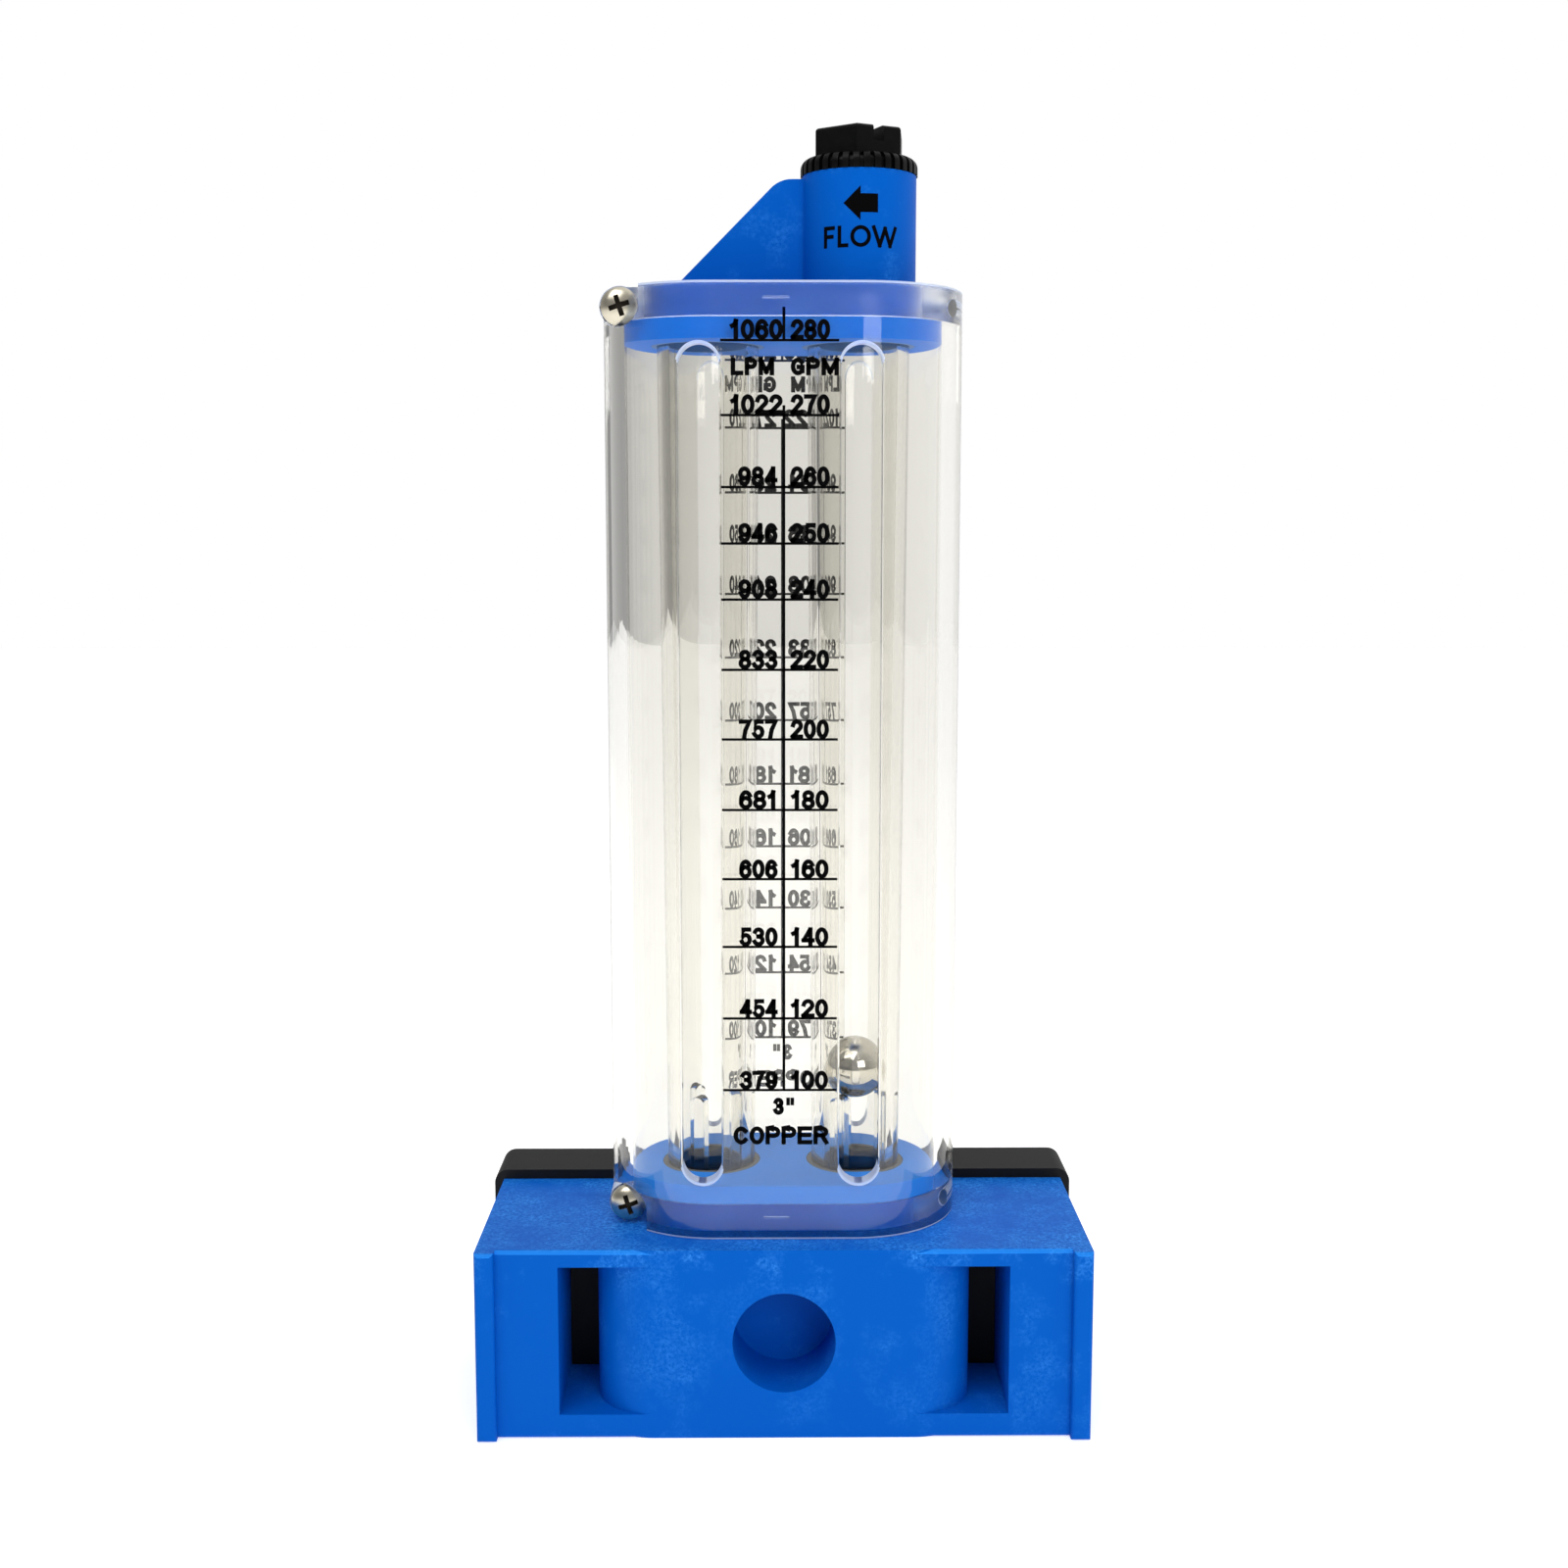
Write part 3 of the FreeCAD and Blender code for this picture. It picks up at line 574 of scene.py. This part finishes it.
def shell_half():
    """Front half of the clear body."""
    whole = as_object(shell_outside(), "shell")
    combined(whole, [shell_inside()], "DIFFERENCE")
    combined(whole, [screw_boss(level) for level in screw_levels], "UNION")
    reach = shell_high.x + beyond
    rear_high = (reach, shell_radius + 2 * beyond, shell_top + beyond)
    cuts = [block((-reach, 0, shell_bottom - beyond), rear_high)]
    cuts += [slot_tool(-slot_shift + side * slot_spacing / 2) for side in (-1, 1)]
    for level in screw_levels:
        cuts += head_room(level)
        cuts.append(cylinder_y(screw_radius + shank_room, -screw_x, level, -screw_seat - beyond, beyond, 24))
        cuts.append(cylinder_y(screw_radius + thread_room, screw_x, level, -screw_reach - 0.4, beyond, 24))
    combined(whole, cuts, "DIFFERENCE")
    gates = [gate_mark(shell_bottom + gate_from_bottom), gate_mark(shell_top - gate_from_top)]
    return worn(combined(whole, gates, "UNION"))


def halfway_round(thing, name):
    """A copy on the other side of the meter."""
    copy = bpy.data.objects.new(name, thing.data.copy())
    copy.data.transform(turn(180, "Z"))
    bpy.context.scene.collection.objects.link(copy)
    return copy


# ---- tubes -----------------------------------------------------------------------------
def tube(node, side):
    """Tapered tube with three ribs in its foot."""
    low, high = tube_low.z, tube_high.z
    profile = [(bore_foot + tube_edge, low), (tube_foot - tube_edge, low), (tube_foot, low + tube_edge),
               (tube_head, high - tube_edge), (tube_head - tube_edge, high), (bore_head + tube_edge, high),
               (bore_head, high - tube_edge), (bore_foot, low + tube_edge), (bore_foot + tube_edge, low)]
    body = as_object(lathe(profile, ROUND), node)
    ribs = [moved(rib(), turn(rib_turns[node] + 120 * count, "Z")) for count in range(3)]
    combined(body, ribs, "UNION")
    body.data.transform(shift(side * tube_x, 0, 0))
    return body


def rib():
    """Upright rib on the +X side of a tube's bore, sunk into its wall, its top rounded."""
    low = tube_low.z
    bar = block((rib_radius, -rib_width / 2, low), (bore_foot + 0.6, rib_width / 2, low + rib_top))
    tops = []
    for edge in bar.edges:
        first, second = (vert.co for vert in edge.verts)
        if min(first.z, second.z) > low + 1 and abs(first.y - second.y) < 0.1:
            tops.append(edge)
    bmesh.ops.bevel(bar, geom=tops, offset=rib_width / 2 - near, segments=6, affect="EDGES",
                    profile=0.5, material=-1)
    return bar


# ---- ball and screws -------------------------------------------------------------------
def ball():
    bm = bmesh.new()
    bmesh.ops.create_uvsphere(bm, u_segments=96, v_segments=48, radius=ball_radius)
    return as_object(moved(bm, shift(tube_x, 0, ball_rest)), "ball")


def threaded(radius, depth, pitch, low, high, segments=32, rings_per_turn=8):
    """Bar about Z with a right-hand thread; depth is the thread's height."""
    rings = int((high - low) / pitch * rings_per_turn)
    bar = stack([(radius, low + (high - low) * step / rings) for step in range(rings + 1)], 0.0, segments)
    for vert in bar.verts:
        phase = (vert.co.z / pitch - math.atan2(vert.co.y, vert.co.x) / (2 * math.pi)) % 1.0
        fade = min(1.0, (vert.co.z - low) / pitch, (high - vert.co.z) / pitch)
        cut = depth * abs(2 * phase - 1) * fade
        scale = 1 - cut / radius
        vert.co.x *= scale
        vert.co.y *= scale
    return bar


def shell_screw():
    """Pan-head screw along Z, its head's crown at the low end, seat at z = -screw_seat."""
    seat = -screw_seat
    crown = screw_low.y
    height = seat - crown
    quarter = arc((0, 0), 1.0, -90, 0, 8)
    dome = [(screw_head_radius * x, crown + height * crown_share * (1 + z)) for x, z in quarter]
    edge = [(screw_head_radius, seat - seat_edge), (screw_head_radius - seat_edge, seat), (0, seat)]
    head = as_object(lathe(dome + edge, FINE), "screw")
    low = (-recess_span / 2, -recess_width / 2, crown - beyond)
    high = (recess_span / 2, recess_width / 2, crown + recess_depth)
    arms = [moved(block(low, high), turn(angle, "Z")) for angle in (recess_turn, recess_turn + 90)]
    combined(head, arms, "DIFFERENCE")
    shank = threaded(screw_radius, thread_depth, screw_pitch, seat + 0.5, screw_reach)
    core = screw_radius - 0.3
    neck = stack([(core, seat - 0.5), (core, screw_reach - 0.2)], 0.0, 24)
    combined(head, [neck, shank], "UNION")
    # the faces of the cross recess take the second material: painted shade with some muck
    for face in head.data.polygons:
        points = [turn(-recess_turn, "Z") @ head.data.vertices[index].co for index in face.vertices]
        face.material_index = int(all(in_recess(point) for point in points))
    return head


def in_recess(point):
    """Whether a point of the screw lies in the cross, drawn square to the axes."""
    narrow, wide = sorted((abs(point.x), abs(point.y)))
    in_cross = narrow < recess_width / 2 + near / 2 and wide < recess_span / 2 + near / 2
    return in_cross and point.z < -screw_seat - 0.2


# ---- print -----------------------------------------------------------------------------
def bow(centre, size, start, end):
    """Points of an oval stroke, angles in degrees."""
    steps = max(3, round(abs(end - start) / 15))
    angles = [math.radians(start + (end - start) * step / steps) for step in range(steps + 1)]
    return [(centre[0] + size[0] * math.cos(a), centre[1] + size[1] * math.sin(a)) for a in angles]


# centre lines of the signs' strokes, in a cell one wide and one high
SIGNS = {
    "0": [bow((0.5, 0.5), (0.5, 0.5), 0, 360)],
    "1": [[(0.65, 0), (0.65, 1)], [(0.1, 0.72), (0.45, 0.8), (0.65, 1)]],
    "2": [bow((0.5, 0.72), (0.48, 0.28), 170, -30) + [(0, 0.02)], [(0, 0), (1, 0)]],
    "3": [bow((0.5, 0.76), (0.44, 0.24), 160, -90), bow((0.5, 0.26), (0.5, 0.26), 90, -160)],
    "4": [[(0.76, 0), (0.76, 1)], [(0.7, 0.97), (0.05, 0.3)], [(0, 0.26), (1, 0.26)]],
    "5": [[(0.92, 1), (0.2, 1), (0.1, 0.46)] + bow((0.5, 0.31), (0.5, 0.31), 135, -155)],
    "6": [bow((0.5, 0.31), (0.5, 0.31), 0, 360), bow((0.52, 0.5), (0.52, 0.5), 35, 180) + [(0, 0.31)]],
    "7": [[(0, 1), (1, 1), (0.55, 0.45), (0.4, 0)]],
    "8": [bow((0.5, 0.76), (0.43, 0.24), 0, 360), bow((0.5, 0.26), (0.5, 0.26), 0, 360)],
    "9": [bow((0.5, 0.69), (0.5, 0.31), 0, 360), bow((0.48, 0.5), (0.52, 0.5), 215, 360) + [(1, 0.69)]],
    "L": [[(0, 1), (0, 0), (1, 0)]],
    "P": [[(0, 0), (0, 1), (0.6, 1)] + bow((0.6, 0.74), (0.4, 0.26), 90, -90) + [(0, 0.48)]],
    "M": [[(0, 0), (0, 1)], [(0.02, 0.95), (0.5, 0.1)], [(0.5, 0.1), (0.98, 0.95)], [(1, 1), (1, 0)]],
    "G": [bow((0.52, 0.5), (0.52, 0.5), 40, 310) + [(1, 0.14), (1, 0.46), (0.6, 0.46)]],
    "C": [bow((0.52, 0.5), (0.52, 0.5), 40, 320)],
    "O": [bow((0.5, 0.5), (0.5, 0.5), 0, 360)],
    "E": [[(1, 1), (0, 1), (0, 0), (1, 0)], [(0, 0.52), (0.9, 0.52)]],
    "R": [[(0, 0), (0, 1), (0.6, 1)] + bow((0.6, 0.75), (0.4, 0.25), 90, -90) + [(0, 0.5)],
          [(0.6, 0.5), (1, 0)]],
    "F": [[(0, 0), (0, 1), (1, 1)], [(0, 0.52), (0.85, 0.52)]],
    "W": [[(0, 1), (0.26, 0)], [(0.26, 0), (0.5, 0.95)], [(0.5, 0.95), (0.74, 0)], [(0.74, 0), (1, 1)]],
    '"': [[(0.2, 1), (0.2, 0.7)], [(0.9, 1), (0.9, 0.7)]],
}


def ribbon(points, width):
    """Flat band of a width along a line in the XZ plane, as pairs of edge points."""
    points = [Vector(point) for point in points]
    closed = (points[0] - points[-1]).length < 1e-6
    steps = [(far - near).normalized() for near, far in zip(points, points[1:])]
    if not closed:
        points[0] = points[0] - steps[0] * width / 2
        points[-1] = points[-1] + steps[-1] * width / 2
    before = [steps[-1] if closed else steps[0]] + steps
    after = steps + [steps[0] if closed else steps[-1]]
    pairs = []
    for point, step_in, step_out in zip(points, before, after):
        along = (step_in + step_out).normalized()
        reach = width / 2 / max(along.dot(step_out), 0.6)
        across = Vector((-along.y, along.x)) * reach
        pairs.append((point + across, point - across))
    return pairs


def plate(bm):
    """Gives flat print its thickness, towards the front."""
    bmesh.ops.recalc_face_normals(bm, faces=bm.faces)
    raised = bmesh.ops.extrude_face_region(bm, geom=bm.faces[:])["geom"]
    verts = [item for item in raised if isinstance(item, bmesh.types.BMVert)]
    bmesh.ops.translate(bm, verts=verts, vec=(0, -ink, 0))
    bmesh.ops.recalc_face_normals(bm, faces=bm.faces)
    return bm


# width of the signs that aren't as wide as the others
SHARES = {"1": 0.8, '"': 0.8, "M": 1.25, "W": 1.25}


def lettering(text, low, high, stroke, gap):
    """Signs that fill the rectangle from low to high in the XZ plane, gap apart."""
    bm = bmesh.new()
    shares = [SHARES.get(sign, 1.0) for sign in text]
    unit = (high[0] - low[0] - gap * (len(text) - 1)) / sum(shares)
    tall = high[1] - low[1] - stroke
    left = low[0]
    for sign, share in zip(text, shares):
        wide = unit * share - stroke
        for line in SIGNS[sign]:
            points = [(left + stroke / 2 + x * wide, low[1] + stroke / 2 + z * tall) for x, z in line]
            pairs = [[bm.verts.new((point.x, 0, point.y)) for point in pair]
                     for pair in ribbon(points, stroke)]
            for (a, b), (c, d) in zip(pairs, pairs[1:]):
                bm.faces.new((a, b, d, c))
        left += unit * share + gap
    return plate(bm)


# gallons a minute at each mark, with the ball's share of its travel there
MARKS = {280: 0.989, 270: 0.895, 260: 0.804, 250: 0.732, 240: 0.660, 220: 0.569,
         200: 0.478, 180: 0.385, 160: 0.293, 140: 0.202, 120: 0.105, 100: 0.007}

# left and right edge of a mark's numbers; the litres by their count of digits
LITRES_EDGES = {3: (-8.95, -1.23), 4: (-10.54, -0.2)}
GALLONS_EDGES = (1.32, 8.95)

# words of the scale: left and right edge, foot above the highest or lowest mark, height, stroke and gap
WORDS = {
    "LPM": (-10.3, -1.86, "highest", -6.7, 3.4, bold, 0.25),
    "GPM": (1.32, 10.68, "highest", -6.7, 3.4, bold, 0.25),
    "3": (-2.2, 0.0, "lowest", -5.2, 3.6, bold, 0),
    '"': (0.25, 2.2, "lowest", -5.2, 3.6, inch_stroke, 0),
    "COPPER": (-10.25, 9.05, "lowest", -11.4, 3.8, bold, 0.2),
}

# letters of the word on the tower: left and right edge
FLOW = {"F": (-7.9, -5.4), "L": (-4.8, -2.6), "O": (-2.2, 1.9), "W": (2.1, 7.6)}


def scale_print():
    """The scale on the front of the clear body."""
    travel = frame["joints"][0]["range_m"][1] / MM
    levels = {gallons: ball_rest + share * travel for gallons, share in MARKS.items()}
    plates = []
    for gallons, level in levels.items():
        litres = str(round(gallons * litres_per_gallon))
        foot = level + digit_rise
        top = foot + digit_height
        low, high = (mark_left, -ink, level - mark_line / 2), (mark_right, 0, level + mark_line / 2)
        plates.append(block(low, high))
        for number, (left, right) in ((litres, LITRES_EDGES[len(litres)]), (str(gallons), GALLONS_EDGES)):
            plates.append(lettering(number, (left, foot), (right, top), bold, 0.05))
    line = centre_line / 2
    lowest, *others, second, highest = sorted(levels.values())
    plates.append(block((-line, -ink, lowest), (line, 0, second + 1.9)))
    plates.append(block((-line, -ink, highest), (line, 0, highest + 6.3)))
    for word, (left, right, mark, rise, height, stroke, gap) in WORDS.items():
        foot = (highest if mark == "highest" else lowest) + rise
        plates.append(lettering(word, (left, foot), (right, foot + height), stroke, gap))
    return as_object(moved(joined(plates), shift(0, -shell_radius, 0)), "scale")


def flow_arrow(middle):
    """Arrow to the left, at a level, flat in the XZ plane."""
    tip, neck, tail = -3.6, -0.2, 3.3
    head, shaft = 3.3, 1.8
    outline = [(tip, 0), (neck, -head), (neck, -shaft), (tail, -shaft), (tail, shaft), (neck, shaft),
               (neck, head)]
    arrow = bmesh.new()
    arrow.faces.new([arrow.verts.new((x, 0, middle + z)) for x, z in outline])
    return plate(arrow)


def flow_print():
    """Arrow and word, wrapped on the tower's front."""
    foot = shell_top + 7.7
    top = foot + 4.2
    word = [lettering(sign, (left, foot), (right, top), flow_stroke, 0)
            for sign, (left, right) in FLOW.items()]
    flat = joined(word + [flow_arrow(shell_top + 16.2)])
    bmesh.ops.triangulate(flat, faces=flat.faces)
    edges = [edge for edge in flat.edges if abs(edge.verts[0].co.x - edge.verts[1].co.x) > 1.0]
    bmesh.ops.subdivide_edges(flat, edges=edges, cuts=3)
    for vert in flat.verts:
        angle = vert.co.x / tower_radius
        reach = tower_radius - vert.co.y
        vert.co.x = tube_x + reach * math.sin(angle)
        vert.co.y = -reach * math.cos(angle)
    return as_object(flat, "flow")


# ---- everything -------------------------------------------------------------------------
def mark_base(base):
    """Gives the base's sockets its third material, a painted shade, and its round upper edges the second,
    lighter blue, partly wear and partly painted highlight.
    """
    for face in base.data.polygons:
        x, y, z = face.center / MM
        over_socket = math.hypot(abs(x) - tube_x, y) < tube_head
        # painted shade deep in the sockets
        if over_socket and shell_bottom + 0.5 < z < base_top - 0.5:
            face.material_index = 2
        # upward-tilted faces of the round upper edge: lighter blue, partly wear and partly painted highlight
        elif 0.15 < face.normal.z < 0.97 and shell_bottom - 4 < z < shell_bottom + 0.1:
            face.material_index = 1


def dress():
    """Gives every construction node its material, and most of them a finer piece in their place."""
    ledges = (shell_bottom + lip_height, shell_top - lip_height)
    base_levels = (ledges[0] - 0.1, ledges[0] + 0.1)
    cap_levels = (ledges[1] + 0.1, ledges[1] - 0.1)
    # the second colour code of each blue is painted light, the lighter blue inside the clear body
    blue = moulded_blue("moulded_blue_abs", "005ABE", 0.8, "2F88EE", *base_levels)
    cap_blue = moulded_blue("moulded_blue_abs_cap", "0058BA", 0.35, "1474E6", *cap_levels)
    # lighter blues for the rounded edges: partly wear, partly painted highlight
    wear_and_painted_highlight_blue = moulded_blue("wear_and_painted_highlight_abs", "1F7FE4", 0.8, "4C9AF2", *base_levels)
    wear_and_painted_highlight_cap_blue = moulded_blue("wear_and_painted_highlight_abs_cap", "1F7FE4", 0.8, "4C9AF2", *cap_levels)
    shaded = shaded_blue("shaded_blue_abs")
    clear = clear_plastic("clear_acrylic")
    # the dull acrylics glow with painted light: a bright line at the ledges, a faint blue glow at the flat
    # ends and lip walls, a paler glow on other tilted faces
    clear_looks = (clear, dull_plastic("ledge_acrylic_painted_highlight", 0.4, 0.5, "E8EEFC", 0.7),
                   dull_plastic("frosted_acrylic_painted_glow", 0.97, 0.3, "4A8CF4", 0.035),
                   dull_plastic("dull_rim_acrylic_painted_highlight", 0.55, 0.45, "C8D2F4", 0.1))
    rubber = moulded_rubber("black_rubber", "070707", 0.72)
    grey_rubber = moulded_rubber("grey_seal_rubber", "55565A", 0.65)
    # the upper seals are painted a pale blue-grey: painted light that hides the dark ring of their shaded
    # underside
    upper_seal_painted_light_rubber = moulded_rubber("upper_seal_rubber_painted_light", "4A78BC", 0.65)
    nylon = moulded_nylon("black_nylon")
    steel = polished_steel("polished_ball_steel")
    screw = screw_steel("stainless_screw_steel")
    recess_shade = grime("recess_painted_shade_and_grime")
    black_ink = printing_ink("black_ink")
    nodes = {
        "base_block": blue, "top_cap": cap_blue, "pitot_probe": blue, "saddle_gasket": rubber,
        "probe_seal": rubber, "access_plug_seal": rubber, "access_plug": nylon,
        "metering_tube_lower_seal": grey_rubber, "metering_tube_upper_seal": upper_seal_painted_light_rubber,
        "return_tube_lower_seal": grey_rubber, "return_tube_upper_seal": upper_seal_painted_light_rubber,
        "float_ball": steel, "front_shell_half": clear, "rear_shell_half": clear,
        "metering_tube": clear, "return_tube": clear, "front_bottom_screw": screw,
        "front_top_screw": screw, "rear_bottom_screw": screw, "rear_top_screw": screw,
        "front_scale_print": black_ink, "rear_scale_print": black_ink, "flow_mark": black_ink,
    }
    for node, material in nodes.items():
        mesh = frame["nodes"][node].data
        mesh.materials.clear()
        mesh.materials.append(material)

    body = "meter_body"
    base = softened("base_block", 0.35, "base_moulding", (blue, wear_and_painted_highlight_blue, shaded), body, "blue_plastic")
    mark_base(base)
    softened("top_cap", 0.3, "cap_moulding", (cap_blue, wear_and_painted_highlight_cap_blue), body, "blue_plastic")
    softened("access_plug", 0.18, "moulded_access_plug", nylon, "plug", "black_plastic")
    softened("saddle_gasket", 0.5, "rubber_saddle", rubber, body, "black_rubber")
    front = shell_half()
    rear = halfway_round(front, "rear")
    finished(front, "clear_front", clear_looks, body, "clear_plastic", "front_shell_half")
    finished(rear, "clear_rear", clear_looks, body, "clear_plastic", "rear_shell_half")
    for node, side in (("metering_tube", 1), ("return_tube", -1)):
        finished(tube(node, side), node.replace("_", "_clear_"), clear, body, "clear_plastic", node)
    finished(ball(), "steel_ball", steel, "ball", "ball_steel", "float_ball")
    pattern = shell_screw()
    for place, level in zip(("bottom", "top"), screw_levels):
        for side, angle in (("front", 0), ("rear", 180)):
            copy = bpy.data.objects.new("screw", pattern.data.copy())
            bpy.context.scene.collection.objects.link(copy)
            copy.data.transform(turn(angle, "Z") @ shift(-screw_x, 0, level) @ turn(-90, "X"))
            node = f"{side}_{place}_screw"
            finished(copy, node + "_threaded", (screw, recess_shade), body, "screw_steel", node)
    bpy.data.objects.remove(pattern)
    scale = scale_print()
    rear_scale = halfway_round(scale, "rear_scale")
    finished(scale, "front_numbers", black_ink, body, "ink", "front_scale_print")
    finished(rear_scale, "rear_numbers", black_ink, body, "ink", "rear_scale_print")
    finished(flow_print(), "flow_arrow_and_word", black_ink, body, "ink", "flow_mark")


# ---- floor, light and camera -------------------------------------------------------------
def studio():
    """White paper under the meter, bright walls and two soft lamps."""
    bm = bmesh.new()
    bmesh.ops.create_grid(bm, x_segments=1, y_segments=1, size=3.0)
    floor = as_object(bm, "floor")
    paper = even("white_paper", "FCFCFC", 0.9, Specular_IOR_Level=0.0, Emission_Color=linear("FFFFFF"),
                 Emission_Strength=0.40)
    floor.data.materials.append(paper)
    room()
    lamp("key", (0.38, -0.95, 0.50), 0.45, 3.2, False)
    lamp("top", (-0.25, -0.45, 0.90), 0.6, 3.6, True)


def room():
    """White walls behind and above, darker towards the viewer's side, plain white as a backdrop."""
    world = bpy.data.worlds.new("soft_room")
    world.use_nodes = True
    tree = world.node_tree
    tree.nodes.clear()
    direction = add(tree, "ShaderNodeTexCoord").outputs["Generated"]
    depth = ranged(tree, part_of(tree, direction, "Y"), -0.9, 0.3, 0.30, 1.0, "SMOOTHSTEP")
    side = ranged(tree, part_of(tree, direction, "X"), -0.9, 0.3, 0.35, 1.0, "SMOOTHSTEP")
    white = {"Color": linear("FFFFFF")}
    walls = add(tree, "ShaderNodeBackground", white, {"Strength": times(tree, depth, side)})
    backdrop = add(tree, "ShaderNodeBackground", white)
    seen = add(tree, "ShaderNodeLightPath").outputs["Is Camera Ray"]
    both = add(tree, "ShaderNodeMixShader", links={0: seen, 1: walls.outputs["Background"],
                                                   2: backdrop.outputs["Background"]})
    add(tree, "ShaderNodeOutputWorld", links={"Surface": both.outputs["Shader"]})
    bpy.context.scene.world = world


def lamp(name, place, size, power, mirrored):
    """Soft square lamp aimed at the meter's middle, seen in polished faces or not."""
    light = bpy.data.lights.new(name, "AREA")
    light.size = size
    light.energy = power
    holder = bpy.data.objects.new(name, light)
    holder.location = place
    holder.visible_glossy = mirrored
    aim = Vector((0, 0, 0.12)) - Vector(place)
    holder.rotation_euler = aim.to_track_quat("-Z", "Y").to_euler()
    bpy.context.scene.collection.objects.link(holder)


def camera():
    """View from the front, from a little above the middle, looking slightly down."""
    lens = bpy.data.cameras.new("camera")
    lens.lens = 43.875
    lens.sensor_width = 36.0
    eye = bpy.data.objects.new("camera", lens)
    eye.location = (-0.003, -0.3992, 0.1813)
    eye.rotation_euler = (math.radians(90 - 7.161), 0, math.radians(-0.46))
    bpy.context.scene.collection.objects.link(eye)
    bpy.context.scene.camera = eye
    bpy.context.scene.view_settings.view_transform = "Standard"
    cycles = bpy.context.scene.cycles
    cycles.max_bounces = 24
    cycles.transmission_bounces = 24
    cycles.blur_glossy = 0.0


dress()
studio()
camera()
